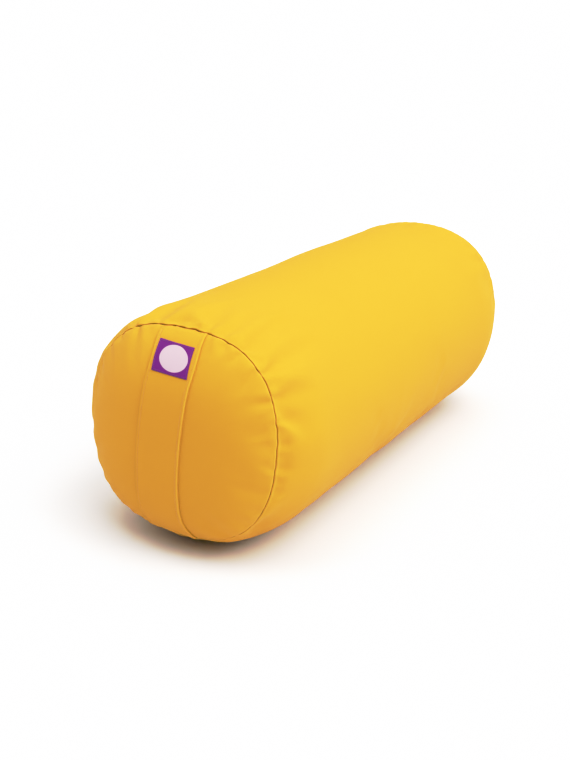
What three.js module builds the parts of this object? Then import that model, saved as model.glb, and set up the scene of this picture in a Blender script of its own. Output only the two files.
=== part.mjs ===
import * as THREE from "three";

// A round bolster lying on its side. Millimetres, +Z up, the roll along X and its handle end at -X.
// Angles run round the roll from +Y (0 degrees) over the top (90) to -Y (180) and the underside (270).

// The filled roll, and how far its underside is pressed flat
const seamToSeam = 542;
const crownHeight = 34.5;
const flatDepth = 5;
const flatBlend = 2;

// Sections through the roll: a mean radius, how far it departs from a circle, and how far the ends stand
// beside and above the middle, which sags
const middle = { radius: 115, wide: 0.06, skew: 0, square: 0, aside: 0, rise: 0 };
const handleEnd = {
  side: -1, radius: 99.5, wide: 0.025, skew: 0, square: -0.033, aside: -3, rise: 6.5,
  leanSide: 6.7, leanTop: 7.4, twist: -0.5, shoulder: 53,
};
const plainEnd = {
  side: 1, radius: 101.7, wide: 0.04, skew: -0.011, square: -0.014, aside: -2, rise: 12.2,
  leanSide: -0.7, leanTop: -3.7, twist: -2, shoulder: 72,
};

// Profiles of the crown and of the drawn-in shoulder
const crownPower = 3.32;
const crownEase = 0.92;
const shoulderEase = 1.09;

// The end panels: thickness, gap to the filled roll, and how far the rim's inner face also moves inwards
const panelThickness = 2;
const seamGap = 0.5;
const rimShare = 0.7;
const rimPower = 4;

// The handle: it lies over the panel, follows the gathers beside the seam and is sewn down thinner there
const clearGap = 0.55;
const strapThickness = 2.4;
const strapWidth = 45;
const strapFlare = 3;
const flarePower = 6;
const strapReach = 0.985;
const strapFollow = 14;
const strapEdgeRound = 0.8;
const strapEndShare = 0.5;
const strapEndPower = 24;

// The handle's middle line, from the top seam to the bottom seam in even steps: it bows to either side
const strapLine = [{ y: -3 }, { y: -7.1 }, { y: -4 }, { y: -2.9 }, { y: -6 }];

// The label: its middle on the end's plane, and how far it leans for each step up
const labelThickness = 0.8;
const labelWidth = 36;
const labelHeight = 30;
const labelPlace = { y: -6.2, z: 77.3, lean: 0.14 };

// The seam's groove and the gathers beside it, which sink inwards and a little along the roll
const grooveDepth = 1.2;
const grooveReach = 4;
const gatherWidth = 3.4;
const gatherFade = 1.5;
const panelReachShare = 0.6;
const sinkAlong = 0.5;
const sinkInward = 0.85;
const gathers = [
  { angle: 5, depth: 1.2, reach: 20 },
  { angle: 16, depth: 1.5, reach: 24 },
  { angle: 27, depth: 1.1, reach: 18 },
  { angle: 37, depth: 1.5, reach: 22 },
  { angle: 47, depth: 1.3, reach: 20 },
  { angle: 57, depth: 2.2, reach: 30 },
  { angle: 72, depth: 1.0, reach: 22 },
  { angle: 83, depth: 0.9, reach: 16 },
  { angle: 91, depth: 1.2, reach: 20 },
  { angle: 102, depth: 1.2, reach: 22 },
  { angle: 112, depth: 1.5, reach: 20 },
  { angle: 124, depth: 1.3, reach: 24 },
  { angle: 139, depth: 2.2, reach: 32 },
  { angle: 151, depth: 1.8, reach: 28 },
  { angle: 162, depth: 1.4, reach: 24 },
  { angle: 174, depth: 1.2, reach: 22 },
  { angle: 185, depth: 1.5, reach: 26 },
  { angle: 197, depth: 1.2, reach: 20 },
  { angle: 208, depth: 1.5, reach: 24 },
  { angle: 220, depth: 1.1, reach: 18 },
  { angle: 231, depth: 1.4, reach: 22 },
  { angle: 243, depth: 1.2, reach: 20 },
  { angle: 255, depth: 1.5, reach: 24 },
  { angle: 267, depth: 1.0, reach: 18 },
  { angle: 279, depth: 1.3, reach: 22 },
  { angle: 291, depth: 1.2, reach: 20 },
  { angle: 303, depth: 1.5, reach: 24 },
  { angle: 315, depth: 1.1, reach: 18 },
  { angle: 327, depth: 1.4, reach: 22 },
  { angle: 339, depth: 1.2, reach: 20 },
  { angle: 351, depth: 1.4, reach: 22 },
];
const plainEndTurn = 6;

// Steps of the meshes: round the roll, along it, and shares of the shoulders, crowns and handle
const roundSteps = 132;
const middleSteps = 8;
const shoulderStops = [0.1, 0.2, 0.34, 0.5, 0.7, 1];
const crownStops = [0.3, 0.55, 0.75, 0.87, 0.94, 0.975, 1];
const underStops = [0.4, 0.7, 0.87, 0.95, 1];
const strapSteps = 36;
const strapColumns = [-1, -0.955, -0.62, -0.3, 0, 0.3, 0.62, 0.955, 1];
const labelSteps = 6;
const rimRounds = 12;

const clothFinish = { color: 0xf2bf33, roughness: 0.9, metalness: 0 };
const labelFinish = { color: 0x7d2391, roughness: 0.7, metalness: 0 };

const floorHeight = sectionPoint(middle, 1.5 * Math.PI, 1).y + flatDepth;

// A point of a section's outline, or of the same outline drawn in to a share of its size, in its own plane
function sectionPoint(section, angle, share) {
  const factor =
    1 +
    section.wide * Math.cos(2 * angle) +
    section.skew * Math.sin(2 * angle) +
    section.square * Math.cos(4 * angle);
  const radius = section.radius * factor * share;
  return new THREE.Vector2(
    section.aside + radius * Math.cos(angle),
    section.rise + radius * Math.sin(angle),
  );
}

// How far the seam stands from its mean plane, because the filling sags the end out of square
function seamOffset(end, angle) {
  return end.leanSide * Math.cos(angle) + end.leanTop * Math.sin(angle) + end.twist * Math.sin(2 * angle);
}

// Depth of the dents at a distance from the seam: the groove all along it, and each gather
function dentDepth(end, angle, distance, share) {
  const turn = end.side > 0 ? plainEndTurn : 0;
  const degrees = THREE.MathUtils.radToDeg(angle) + turn;
  let depth = grooveDepth * Math.exp(-distance / grooveReach);
  for (const gather of gathers) {
    const away = THREE.MathUtils.euclideanModulo(degrees - gather.angle + 180, 360) - 180;
    const across = Math.exp(-((away / gatherWidth) ** 2));
    depth += gather.depth * across * Math.exp(-((distance / (gather.reach * share)) ** gatherFade));
  }
  return depth;
}

// Moves a point of the cloth inwards, towards the roll's axis and towards its middle
function sink(point, end, angle, depth) {
  point.x -= end.side * sinkAlong * depth;
  point.y -= sinkInward * depth * Math.cos(angle);
  point.z -= sinkInward * depth * Math.sin(angle);
  return point;
}

// Flattens what would reach under the surface that the roll lies on
function restOnFloor(point) {
  const over = point.z - floorHeight;
  if (over < -flatBlend) {
    point.z = floorHeight;
  } else if (over < flatBlend) {
    point.z = floorHeight + (over + flatBlend) ** 2 / (4 * flatBlend);
  }
  return point;
}

// A point of the tube: share runs from the seam (0) to the end of its shoulder (1)
function tubePoint(end, angle, share) {
  const seam = sectionPoint(end, angle, 1);
  const full = sectionPoint(middle, angle, 1);
  const swell = (1 - (1 - share) ** 2) ** shoulderEase;
  const point = new THREE.Vector3(
    end.side * (seamToSeam / 2 - share * end.shoulder) + seamOffset(end, angle) * (1 - share),
    THREE.MathUtils.lerp(seam.x, full.x, swell),
    THREE.MathUtils.lerp(seam.y, full.y, swell),
  );
  const dent = dentDepth(end, angle, share * end.shoulder, 1);
  return restOnFloor(sink(point, end, angle, dent));
}

// Height of an end panel's crown at a share of the way from its centre to its seam
function crownRise(share) {
  return crownHeight * Math.max(0, 1 - share ** crownPower) ** crownEase;
}

// A point of an end panel's outer face, or of a face that lies deeper by depth
function crownPoint(end, angle, share, depth) {
  const place = sectionPoint(end, angle, share);
  const point = new THREE.Vector3(
    end.side * (seamToSeam / 2 + crownRise(share) - depth) + seamOffset(end, angle) * share ** 2,
    place.x,
    place.y,
  );
  const dent = dentDepth(end, angle, (1 - share) * end.radius, panelReachShare);
  return sink(point, end, angle, dent + rimShare * depth * share ** rimPower);
}

// One point for each step round the roll
function ring(pointAt) {
  const points = [];
  for (let step = 0; step < roundSteps; step++) {
    points.push(pointAt((2 * Math.PI * step) / roundSteps));
  }
  return points;
}

// The closed solid between two poles through a row of rings that run from -X to +X
function loftRings(firstPole, rings, lastPole) {
  const positions = [firstPole, ...rings.flat(), lastPole].flatMap((point) => point.toArray());
  const lastIndex = 1 + rings.length * roundSteps;
  const indices = [];
  for (let step = 0; step < roundSteps; step++) {
    const next = (step + 1) % roundSteps;
    indices.push(0, 1 + next, 1 + step);
    for (let row = 0; row + 1 < rings.length; row++) {
      const here = 1 + row * roundSteps;
      const there = here + roundSteps;
      indices.push(here + step, here + next, there + next);
      indices.push(here + step, there + next, there + step);
    }
    const last = lastIndex - roundSteps;
    indices.push(last + step, last + next, lastIndex);
  }
  return indexedGeometry(positions, indices);
}

// A closed geometry from its corners' coordinates and its triangles
function indexedGeometry(positions, indices) {
  const geometry = new THREE.BufferGeometry();
  geometry.setAttribute("position", new THREE.Float32BufferAttribute(positions, 3));
  geometry.setIndex(indices);
  geometry.computeVertexNormals();
  return geometry;
}

// The filled roll: crown, shoulder, middle, shoulder, crown, under the end panels
function bodyGeometry() {
  const under = panelThickness + seamGap;
  const crownRings = (end) => {
    return underStops.map((share) => ring((angle) => crownPoint(end, angle, share, under)));
  };
  const shoulderRings = (end) => {
    return shoulderStops.map((share) => ring((angle) => tubePoint(end, angle, share)));
  };
  const middleRings = [];
  for (let step = 1; step < middleSteps; step++) {
    const share = step / middleSteps;
    middleRings.push(
      ring((angle) => tubePoint(handleEnd, angle, 1).lerp(tubePoint(plainEnd, angle, 1), share)),
    );
  }
  const rings = [
    ...crownRings(handleEnd),
    ...shoulderRings(handleEnd),
    ...middleRings,
    ...shoulderRings(plainEnd).reverse(),
    ...crownRings(plainEnd).reverse(),
  ];
  return loftRings(crownPoint(handleEnd, 0, 0, under), rings, crownPoint(plainEnd, 0, 0, under));
}

// A round panel: its outer face out to the seam, and its inner face back to the centre
function panelGeometry(end) {
  const face = (stops, depth) => stops.map((share) => ring((angle) => crownPoint(end, angle, share, depth)));
  const outerPole = crownPoint(end, 0, 0, 0);
  const innerPole = crownPoint(end, 0, 0, panelThickness);
  const outer = face(crownStops, 0);
  const inner = face(underStops, panelThickness);
  if (end.side < 0) {
    return loftRings(outerPole, [...outer, ...inner.reverse()], innerPole);
  }
  return loftRings(innerPole, [...inner, ...outer.reverse()], outerPole);
}

// The angle at which a place lies on the handle's end, and how far out the seam is there
function rimAt(y, z) {
  const angle = Math.atan2(z - handleEnd.rise, y - handleEnd.aside);
  const seam = sectionPoint(handleEnd, angle, 1);
  return { angle, reach: Math.hypot(seam.x - handleEnd.aside, seam.y - handleEnd.rise) };
}

// The crown of the handle's end over a place in its plane: the gathers show through only beside the seam
function crownOver(y, z) {
  const { angle, reach } = rimAt(y, z);
  const share = Math.min(1, Math.hypot(y - handleEnd.aside, z - handleEnd.rise) / reach);
  const x = -(seamToSeam / 2 + crownRise(share)) + seamOffset(handleEnd, angle) * share ** 2;
  const distance = (1 - share) * handleEnd.radius;
  const dent = dentDepth(handleEnd, angle, distance, panelReachShare) * share ** strapFollow;
  return sink(new THREE.Vector3(x, y, z), handleEnd, angle, dent);
}

// A point at a height over that crown, square to it
function overCrown(y, z, height) {
  const step = 1;
  const alongY = crownOver(y + step, z).sub(crownOver(y - step, z));
  const alongZ = crownOver(y, z + step).sub(crownOver(y, z - step));
  const outward = alongZ.cross(alongY).normalize();
  return crownOver(y, z).addScaledVector(outward, height);
}

// Where a line at y meets the handle's end near the rim, above (1) or below (-1)
function rimHeight(y, up) {
  let z = up * handleEnd.radius;
  for (let round = 0; round < rimRounds; round++) {
    const reach = strapReach * rimAt(y, z).reach;
    z = handleEnd.rise + up * Math.sqrt(reach ** 2 - (y - handleEnd.aside) ** 2);
  }
  return z;
}

const strapCurve = new THREE.SplineCurve(strapLine.map(({ y }, row) => new THREE.Vector2(row, y)));

// How far beside the roll's axis the handle's middle line runs
function strapMiddle(share) {
  return strapCurve.getPoint(share).y;
}

// A place on the handle: across from -1 to 1, along from the top seam (0) to the bottom seam (1)
function strapPlace(across, along) {
  const flare = strapFlare * (2 * along - 1) ** flarePower;
  const y = strapMiddle(along) - (across * (strapWidth + flare)) / 2;
  const top = rimHeight(y, 1);
  const bottom = rimHeight(y, -1);
  return { y, z: THREE.MathUtils.lerp(top, bottom, along) };
}

// The closed solid between an upper and a lower grid of points of the same size
function slabGeometry(rows, columns, pointAt) {
  const positions = [];
  for (const layer of [0, 1]) {
    for (let row = 0; row <= rows; row++) {
      for (let column = 0; column <= columns; column++) {
        positions.push(...pointAt(row, column, layer).toArray());
      }
    }
  }
  const width = columns + 1;
  const under = (rows + 1) * width;
  const at = (row, column) => row * width + column;
  const indices = [];
  const quad = (a, b, c, d) => indices.push(a, b, c, a, c, d);
  for (let row = 0; row < rows; row++) {
    for (let column = 0; column < columns; column++) {
      const here = at(row, column);
      const below = at(row + 1, column);
      quad(here, below, below + 1, here + 1);
      quad(under + here + 1, under + below + 1, under + below, under + here);
    }
    quad(at(row, 0), under + at(row, 0), under + at(row + 1, 0), at(row + 1, 0));
    quad(at(row + 1, columns), under + at(row + 1, columns), under + at(row, columns), at(row, columns));
  }
  for (let column = 0; column < columns; column++) {
    quad(at(0, column + 1), under + at(0, column + 1), under + at(0, column), at(0, column));
    quad(at(rows, column), under + at(rows, column), under + at(rows, column + 1), at(rows, column + 1));
  }
  return indexedGeometry(positions, indices);
}

// The handle: a flat band over the crowned panel, sewn in at both ends, where it is pressed thinner
function strapGeometry() {
  return slabGeometry(strapSteps, strapColumns.length - 1, (row, column, layer) => {
    const across = strapColumns[column];
    const along = row / strapSteps;
    const { y, z } = strapPlace(across, along);
    const pressed = 1 - (1 - strapEndShare) * (2 * along - 1) ** strapEndPower;
    const edge = Math.abs(across) === 1 ? strapEdgeRound : 0;
    const height = layer === 0 ? clearGap + (strapThickness - edge) * pressed : clearGap;
    return overCrown(y, z, height);
  });
}

// The label: a small patch on the handle, which leans as the handle does there
function labelGeometry() {
  const place = labelPlace;
  const slant = crownOver(place.y, place.z - 1).distanceTo(crownOver(place.y, place.z + 1)) / 2;
  const base = clearGap + strapThickness + clearGap;
  return slabGeometry(labelSteps, labelSteps, (row, column, layer) => {
    const up = ((0.5 - row / labelSteps) * labelHeight) / slant;
    const y = place.y + (0.5 - column / labelSteps) * labelWidth + place.lean * up;
    return overCrown(y, place.z + up, layer === 0 ? base + labelThickness : base);
  });
}

// One named sub-part with its own material
function piece(name, geometry, finish) {
  const mesh = new THREE.Mesh(geometry, new THREE.MeshStandardMaterial(finish));
  mesh.name = name;
  return mesh;
}

const bolster = new THREE.Group();
bolster.add(
  piece("bolster_body", bodyGeometry(), clothFinish),
  piece("end_panel_handle", panelGeometry(handleEnd), clothFinish),
  piece("end_panel_plain", panelGeometry(plainEnd), clothFinish),
  piece("handle_strap", strapGeometry(), clothFinish),
  piece("label", labelGeometry(), labelFinish),
);

// The origin is the middle of the footprint, on the surface
const extent = new THREE.Box3().setFromObject(bolster);
const centre = extent.getCenter(new THREE.Vector3());
bolster.position.set(-centre.x, -centre.y, -extent.min.z);

export default bolster;
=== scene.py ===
import math
import bpy
import numpy as np
from mathutils import Matrix, Vector, kdtree


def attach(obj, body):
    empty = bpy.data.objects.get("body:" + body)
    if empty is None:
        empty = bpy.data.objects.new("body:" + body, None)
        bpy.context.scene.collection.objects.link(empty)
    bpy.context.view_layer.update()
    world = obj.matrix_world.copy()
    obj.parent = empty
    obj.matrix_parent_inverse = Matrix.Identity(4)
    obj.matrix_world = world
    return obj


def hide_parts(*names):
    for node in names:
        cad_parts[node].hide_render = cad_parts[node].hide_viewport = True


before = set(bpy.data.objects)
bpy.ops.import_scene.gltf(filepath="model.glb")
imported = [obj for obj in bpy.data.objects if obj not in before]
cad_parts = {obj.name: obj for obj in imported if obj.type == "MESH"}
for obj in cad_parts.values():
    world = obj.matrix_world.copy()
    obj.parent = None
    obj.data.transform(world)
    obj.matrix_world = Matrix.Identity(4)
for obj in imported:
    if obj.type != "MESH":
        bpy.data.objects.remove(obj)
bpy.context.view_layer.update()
print("frame loaded", sorted(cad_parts))

mm = 0.001
rng = np.random.default_rng(24)

# the filled roll, lying along X with its handle at -X; angles run from +Y (0) over the top (90)
roll = {
    "seamToSeam": 542 * mm,
    "place": Vector((1.654 * mm, 0, 103.1 * mm)),  # the roll's axis in the frame
    "crown": 34.5 * mm, "crownPower": 3.32, "crownEase": 0.92,  # how far the ends bulge, and how
    "rimTurn": 4,  # how late the end's cloth turns into the seam
    "shoulderEase": 1.09,
    "flatDepth": 5 * mm, "flatBlend": 2 * mm,  # how far the floor presses the underside in
    "columns": 384, "middleStep": 6 * mm,  # points around it, and from one row of them to the next
    "closingSeam": 290,  # degrees, where the tube's own edges are joined
}
# its section half way along, and at each seam: form, place, and how the seam leans along the roll
middle = {"radius": 115 * mm, "wide": 0.06, "skew": 0, "square": 0, "aside": 0, "rise": 0}
handleEnd = {
    "side": -1, "radius": 99.5 * mm, "wide": 0.025, "skew": 0, "square": -0.033,
    "aside": -3 * mm, "rise": 6.5 * mm, "leanSide": 6.7 * mm, "leanTop": 7.4 * mm,
    "twist": -0.5 * mm, "shoulder": 53 * mm,
    "turn": 0, "folds": 1, "more": [],  # its gathers: turned by degrees, their strength, and further ones
}
plainEnd = {
    "side": 1, "radius": 102.8 * mm, "wide": 0.04, "skew": -0.011, "square": -0.014,
    "aside": -2 * mm, "rise": 12.2 * mm, "leanSide": -2.6 * mm, "leanTop": -2.7 * mm,
    "twist": -2 * mm, "shoulder": 72 * mm,
    "turn": 6, "folds": 0.6, "more": [(52, 1.2, 44), (70, 1.0, 40), (33, 0.8, 36), (89, 0.8, 36)],
}
half = roll["seamToSeam"] / 2
shoulders = (handleEnd["shoulder"] - half, half - plainEnd["shoulder"])  # stations of the middle part's ends

# the seams: how the cloth turns in beside the stitches
seam = {
    "gap": 0.14 * mm,  # from the middle of the seam to either cloth
    "lip": 1.3 * mm, "lipReach": 0.36 * mm,
    "shadeReach": 0.19 * mm, "shadeOnTop": 0.34 * mm,  # how far out from the stitches the painted shade reaches, and on the seam's top
    "topPower": 4,  # how narrow a part of the seam counts as its top
    "paintedHighlight": 0.3, "highlightAt": 1.3 * mm, "highlightWidth": 0.6 * mm,  # the painted highlight on the ridge on either side
    "dip": 0.7 * mm, "dipReach": 2.6 * mm,
    "allowance": 6.5 * mm,  # how deep the cloth goes on in the seam
    "inward": (0.5, 0.85),  # along the roll and towards its axis
    "proud": 0.35 * mm, "proudReach": 3 * mm,  # the tube's edge lies a little over the panel's
    "evenAt": 165, "evenWidth": 48,  # but not around here, in degrees
    "wander": 0.6 * mm, "wanderReach": 8 * mm, "waves": (14, 60),
    "closing": 0.8 * mm, "closingWidth": 0.5 * mm,  # the tube's own seam, along the hidden lower back
    "closingDip": 0.4 * mm, "closingReach": 2.5 * mm,
}
# one gather: a valley that broadens as it runs out, with a low ridge on either side
gather = {
    "narrow": 2.2 * mm, "broad": 7 * mm,  # its width at the seam and where it ends
    "atSeam": 0.28, "startReach": 3.5 * mm,  # its share of depth at the seam, and how soon it is full
    "ridge": 0.3, "ridgeAt": 1.9, "ridgeWidth": 1.2,  # shares of the valley's depth and width
    "fade": 1.5,
    "lean": 2.5, "leanOver": 1.5,  # degrees at most, over its reach, and how many reaches long
}
tuck = {
    "count": 96, "scatter": 1.3,  # around each seam, and how far off its place one may be, in degrees
    "depth": 0.3 * mm, "width": 1.3 * mm, "reach": 6 * mm, "leastReach": 0.5, "sizes": (0.2, 1.0),
}
notch = {  # beside the handle's upper corner
    "at": 104,  # degrees
    "depth": 1.6 * mm, "width": 0.9 * mm, "reach": 1.8 * mm,
    # painted shade in the notch: its width and reach
    "shadeWidth": 1.1 * mm, "shadeReach": 1.6 * mm,
}
# the gathers beside the seams, on the tube and on the end panels: degrees, depth and reach in mm
tubeGathers = [
    (5, 1.0, 20), (16, 1.3, 24), (27, 1.1, 18), (37, 1.2, 22), (47, 1.1, 20), (56, 2.2, 32), (64, 0.8, 18),
    (72, 1.0, 24), (84, 0.9, 20), (91, 0.9, 22), (101, 1.0, 26), (111, 1.3, 24), (124, 1.3, 28),
    (139, 2.2, 36), (151, 1.9, 30), (162, 1.4, 26), (174, 0.8, 20), (185, 0.8, 22), (197, 0.7, 20),
    (208, 0.8, 20), (220, 0.8, 18), (231, 1.0, 20), (243, 0.7, 18), (255, 0.8, 18), (267, 0.6, 16),
    (279, 0.7, 18), (291, 0.6, 16), (303, 0.7, 20), (315, 0.5, 18), (327, 0.7, 20), (339, 0.6, 18),
    (351, 0.9, 20),
]
panelGathers = [
    (5, 0.8, 10), (16, 1.1, 13), (27, 1.0, 12), (38, 1.0, 14), (48, 1.1, 14), (60, 2.0, 24), (74, 0.9, 12),
    (84, 0.9, 10), (98, 0.8, 11), (106, 1.4, 17), (116, 1.7, 18), (125, 1.8, 20), (136, 1.9, 21),
    (152, 2.1, 22), (163, 1.4, 17), (175, 0.7, 12), (186, 0.7, 13), (198, 0.5, 11), (209, 0.6, 13),
    (221, 0.8, 16), (232, 0.7, 12), (244, 0.5, 10), (256, 0.6, 10), (268, 0.5, 9), (280, 0.5, 10),
    (292, 0.5, 10), (304, 0.6, 12), (316, 0.5, 10), (328, 0.6, 12), (340, 0.6, 10), (352, 0.8, 11),
]
mostGathers = len(tubeGathers + plainEnd["more"])
evenly = np.arange(tuck["count"]) * 360 / tuck["count"]
waves = np.arange(*seam["waves"])
for end in (handleEnd, plainEnd):
    end["lean"] = rng.uniform(-gather["lean"], gather["lean"], mostGathers)
    end["tuckAt"] = evenly + rng.uniform(-tuck["scatter"], tuck["scatter"], tuck["count"])
    end["tuckSize"] = rng.uniform(*tuck["sizes"], tuck["count"])
    # each wave of the stitched line, its size and its phase in radians
    end["waves"] = np.stack([waves, rng.normal(0, 1, len(waves)), rng.uniform(0, 6.28, len(waves))])


def sectionAt(section, angle, share=1.0):  # a section's outline, drawn in to a share of its size
    reach = section["radius"] * share * (
        1 + section["wide"] * np.cos(2 * angle) + section["skew"] * np.sin(2 * angle)
        + section["square"] * np.cos(4 * angle))
    return section["aside"] + reach * np.cos(angle), section["rise"] + reach * np.sin(angle)


def seamOffset(end, angle):  # the filling sags the end out of square
    return (end["leanSide"] * np.cos(angle) + end["leanTop"] * np.sin(angle)
            + end["twist"] * np.sin(2 * angle))


def crownRise(share):
    share = np.clip(share, 0, 1)
    return roll["crown"] * (1 - share ** roll["crownPower"]) ** roll["crownEase"]


def turnBetween(angle, degrees):  # degrees from one direction round to another, -180 to 180
    return (np.degrees(angle) - degrees + 180) % 360 - 180


def acrossNotch(angle):
    return np.radians(turnBetween(angle, notch["at"])) * handleEnd["radius"]


def foldDepth(end, angle, away, folds):  # how far gathers and tucks sink the cloth
    depth = np.zeros(np.broadcast(angle, away).shape)
    start = 1 - (1 - gather["atSeam"]) * np.exp(-away / gather["startReach"])
    for (degrees, deep, reach), lean in zip(folds, end["lean"]):
        run = away / (reach * mm)
        leant = lean * np.minimum(run, gather["leanOver"])
        across = np.radians(turnBetween(angle, degrees - end["turn"] + leant)) * end["radius"]
        width = gather["narrow"] + (gather["broad"] - gather["narrow"]) * np.minimum(run, 1)
        valley = np.exp(-(across / width) ** 2)
        besideRidge = (np.abs(across) - gather["ridgeAt"] * width) / (gather["ridgeWidth"] * width)
        form = valley - gather["ridge"] * np.exp(-besideRidge ** 2)
        depth += deep * end["folds"] * mm * form * np.exp(-run ** gather["fade"]) * start
    for degrees, size in zip(end["tuckAt"], end["tuckSize"]):
        across = np.radians(turnBetween(angle, degrees)) * end["radius"]
        width = tuck["width"] * (1 + away / tuck["reach"])
        reach = tuck["reach"] * (tuck["leastReach"] + size)
        depth += tuck["depth"] * end["folds"] * size * np.exp(-(across / width) ** 2 - away / reach)
    if end is handleEnd:
        depth += notch["depth"] * np.exp(-(acrossNotch(angle) / notch["width"]) ** 2 - away / notch["reach"])
    return depth


def seamDepth(away):  # how deep the cloth turns in beside the stitches
    return (seam["lip"] * np.exp(-away / seam["lipReach"])
            + seam["dip"] * np.exp(-away / seam["dipReach"]))


def seamStep(angle, away):  # how far the tube's edge stands out, and the panel's lies in
    even = np.exp(-(turnBetween(angle, seam["evenAt"]) / seam["evenWidth"]) ** 2)
    return seam["proud"] * (1 - even) * np.exp(-away / seam["proudReach"])


def seamShade(end, angle, away):  # 1 in the seam, 0 on the open cloth and below 0 on the ridge beside it: painted shade in the seam, painted highlight on the ridge
    atTop = np.maximum(np.sin(angle), 0) ** seam["topPower"]
    reach = seam["shadeReach"] + (seam["shadeOnTop"] - seam["shadeReach"]) * atTop
    shade = np.exp(-(np.maximum(away - seam["gap"], 0) / reach) ** 2)
    # painted shade in the notch beside the handle's upper corner
    if end is handleEnd:
        across = acrossNotch(angle) / notch["shadeWidth"]
        shade = np.maximum(shade, np.exp(-across ** 2 - (away / notch["shadeReach"]) ** 2))
    return shade - seam["paintedHighlight"] * np.exp(-((away - seam["highlightAt"]) / seam["highlightWidth"]) ** 2)


def seamWander(end, angle, away):  # the stitched line isn't quite even
    waves, sizes, phases = end["waves"]
    total = sum(size * np.cos(wave * angle + phase) / wave ** 0.5
                for wave, size, phase in zip(waves, sizes, phases))
    return seam["wander"] * end["folds"] * total * np.exp(-away / seam["wanderReach"])


def restOnFloor(z):  # flattens what would reach under the floor
    over = z + middle["radius"] * (1 - middle["wide"]) - roll["flatDepth"]
    blend = roll["flatBlend"]
    soft = (over + blend) ** 2 / (4 * blend)
    return z - over + np.where(over < -blend, 0, np.where(over < blend, soft, over))


def closingDepth(angle):  # the groove of the seam that closes the tube
    across = np.abs(np.radians(turnBetween(angle, roll["closingSeam"]))) * middle["radius"]
    return (seam["closing"] * np.exp(-across / seam["closingWidth"])
            + seam["closingDip"] * np.exp(-across / seam["closingReach"]))


# broad swells of the filling: degrees around, place along, height, and reach around and along, in mm
swells = [(62, -221, 1.8, 36, 36), (18, -250, -2.0, 26, 36), (58, 80, 1.4, 45, 60), (205, 222, 2.0, 50, 42)]


def swellHeight(angle, station):
    total = 0
    for degrees, place, height, wide, long in swells:
        across = np.radians(turnBetween(angle, degrees)) * middle["radius"] / (wide * mm)
        along = (station - place * mm) / (long * mm)
        total = total + height * mm * np.exp(-across ** 2 - along ** 2)
    return total


# what the cloth simulation adds to the form: rows along the cloth, columns around it
cloth = {"columns": 192, "rows": None, "moves": None}


def fourShares(at):  # the four steps beside a place in a table and their shares of a smooth line
    base = np.floor(at).astype(int)
    t = at - base
    return ((base - 1, (2 * t ** 2 - t - t ** 3) / 2), (base, (2 - 5 * t ** 2 + 3 * t ** 3) / 2),
            (base + 1, (t + 4 * t ** 2 - 3 * t ** 3) / 2), (base + 2, (t ** 3 - t ** 2) / 2))


def clothShift(angle, station):  # how far the swells and the simulation move the cloth at a place
    angle, station = np.broadcast_arrays(angle, station)
    outward = np.stack([0 * angle, np.cos(angle), np.sin(angle)], -1)
    total = outward * swellHeight(angle, station)[..., None]
    if cloth["moves"] is None:
        return total
    across = (np.degrees(angle) - roll["closingSeam"]) / 360 * cloth["columns"]
    along = np.interp(station, cloth["rows"], np.arange(len(cloth["rows"])))
    for row, rowShare in fourShares(along):
        row = np.clip(row, 0, len(cloth["rows"]) - 1)
        for column, share in fourShares(across):
            total += (rowShare * share)[..., None] * cloth["moves"][row, column % cloth["columns"]]
    return total


def tubePoints(end, angle, away, extra=0.0):  # the tube's cloth, away from the seam
    share = np.minimum(away / end["shoulder"], 1)
    seamY, seamZ = sectionAt(end, angle)
    fullY, fullZ = sectionAt(middle, angle)
    swell = (1 - (1 - share) ** 2) ** roll["shoulderEase"]
    sunk = seamDepth(away) + foldDepth(end, angle, away, tubeGathers + end["more"]) + extra
    sunk = sunk + closingDepth(angle) - seamStep(angle, away)
    x = end["side"] * (half - away - seam["inward"][0] * sunk)
    x = x + seamOffset(end, angle) * (1 - share) + seamWander(end, angle, away)
    y = seamY + (fullY - seamY) * swell - seam["inward"][1] * sunk * np.cos(angle)
    z = seamZ + (fullZ - seamZ) * swell - seam["inward"][1] * sunk * np.sin(angle)
    points = np.stack([x, y, z], -1) + clothShift(angle, end["side"] * (half - away))
    points[..., 2] = restOnFloor(points[..., 2])
    return points


# shares of the crown's width for lengths of cloth measured in from the seam
crownShares = np.linspace(0, 1, 4001)
crownSteps = np.hypot(np.diff(crownRise(crownShares)), np.diff(crownShares) * handleEnd["radius"])
crownLengths = np.concatenate([[0], np.cumsum(crownSteps)])
panelRadius = float(crownLengths[-1])  # the cut disc's radius


def shareAt(away):
    return np.interp(panelRadius - away, crownLengths, crownShares)


def awayAt(share):
    return panelRadius - np.interp(share, crownShares, crownLengths)


def crownPoints(end, angle, away, extra=0.0, folds=1.0):  # the end's cloth, away from the seam
    share = shareAt(away)
    y, z = sectionAt(end, angle, share)
    sunk = seamDepth(away) + foldDepth(end, angle, away, panelGathers) * folds
    sunk = sunk + seamStep(angle, away) + extra
    turn = share ** roll["rimTurn"]  # the cloth sinks along the roll, and into the seam at the rim
    along = 1 + (seam["inward"][0] - 1) * turn
    x = end["side"] * (half + crownRise(share) - along * sunk)
    x = x + seamOffset(end, angle) * share ** 2 + seamWander(end, angle, away)
    y = y - seam["inward"][1] * sunk * turn * np.cos(angle)
    z = z - seam["inward"][1] * sunk * turn * np.sin(angle)
    return np.stack([x, y, z], -1) + clothShift(angle, end["side"] * (half + away))


def editAll(step, **settings):  # one step in edit mode on all of a piece
    bpy.ops.object.mode_set(mode="EDIT")
    bpy.ops.mesh.select_all(action="SELECT")
    step(**settings)
    bpy.ops.object.mode_set(mode="OBJECT")


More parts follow.
